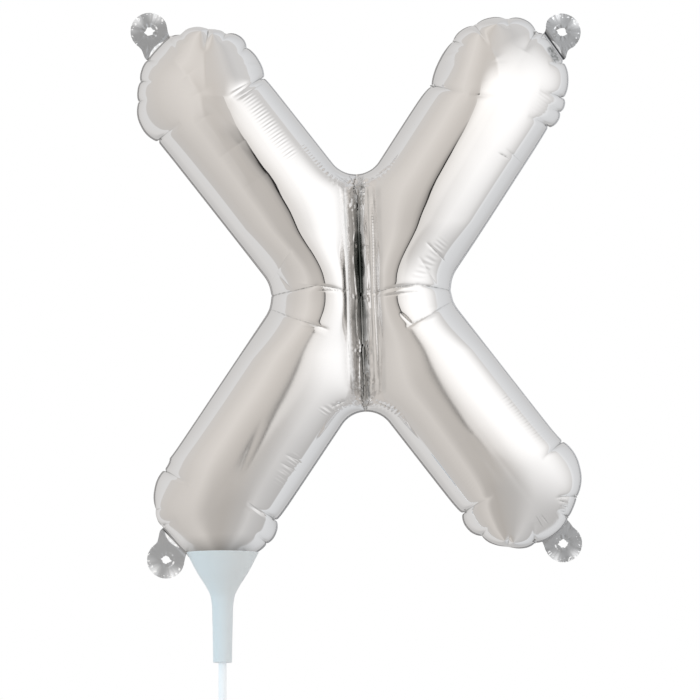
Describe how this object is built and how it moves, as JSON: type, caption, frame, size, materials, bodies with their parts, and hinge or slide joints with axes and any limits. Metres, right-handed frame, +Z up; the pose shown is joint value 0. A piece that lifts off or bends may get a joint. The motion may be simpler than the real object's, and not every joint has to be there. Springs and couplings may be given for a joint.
{
  "type": "letter foil balloon on a stick",
  "caption": "Air-filled foil balloon in the shape of a block letter X with hanging tabs, standing in the cup of a plastic balloon stick.",
  "frame": {"origin": "centre of the stick's lower end, where the stick is held", "axes": "+Z up along the stick, +X to the right and +Y away from the viewer of the balloon's front, whose letter lies in the XZ plane"},
  "size_m": [0.2935, 0.0684, 0.7837],
  "materials": {
    "silver_foil": "mirror",
    "flat_foil": "gloss, crinkled",
    "cup_plastic": "satin",
    "stick_plastic": "satin"
  },
  "bodies": {
    "stick": {"stick": "stick_plastic"},
    "cup": {"cup": "cup_plastic"},
    "balloon": {"foil_front": "silver_foil", "foil_back": "silver_foil", "filling_tail": "flat_foil"},
    "tab_top_left": {"tab_top_left": "flat_foil"},
    "tab_top_right": {"tab_top_right": "flat_foil"},
    "tab_bottom_left": {"tab_bottom_left": "flat_foil"},
    "tab_bottom_right": {"tab_bottom_right": "flat_foil"}
  },
  "joints": [
    {"name": "cup_turn", "type": "hinge", "parent": "stick", "child": "cup", "pos_m": [0, 0, 0.36], "axis": [0, 0, 1], "continuous": true},
    {"name": "balloon_lift", "type": "slide", "parent": "cup", "child": "balloon", "axis": [0, 0, 1], "range_m": [0, 0.06]},
    {"name": "tab_top_left_flex", "type": "hinge", "parent": "balloon", "child": "tab_top_left", "pos_m": [-0.04172, 0, 0.7595], "axis": [0.6448, 0, 0.7644], "range_deg": [-60, 60], "stiffness_Nm_per_rad": 0.0002},
    {"name": "tab_top_right_flex", "type": "hinge", "parent": "balloon", "child": "tab_top_right", "pos_m": [0.21491, 0, 0.76106], "axis": [0.5927, 0, -0.8054], "range_deg": [-60, 60], "stiffness_Nm_per_rad": 0.0002},
    {"name": "tab_bottom_left_flex", "type": "hinge", "parent": "balloon", "child": "tab_bottom_left", "pos_m": [-0.03229, 0, 0.43827], "axis": [-0.8126, 0, 0.5828], "range_deg": [-60, 60], "stiffness_Nm_per_rad": 0.0002},
    {"name": "tab_bottom_right_flex", "type": "hinge", "parent": "balloon", "child": "tab_bottom_right", "pos_m": [0.21437, 0, 0.4457], "axis": [-0.7449, 0, -0.6672], "range_deg": [-60, 60], "stiffness_Nm_per_rad": 0.0002}
  ]
}
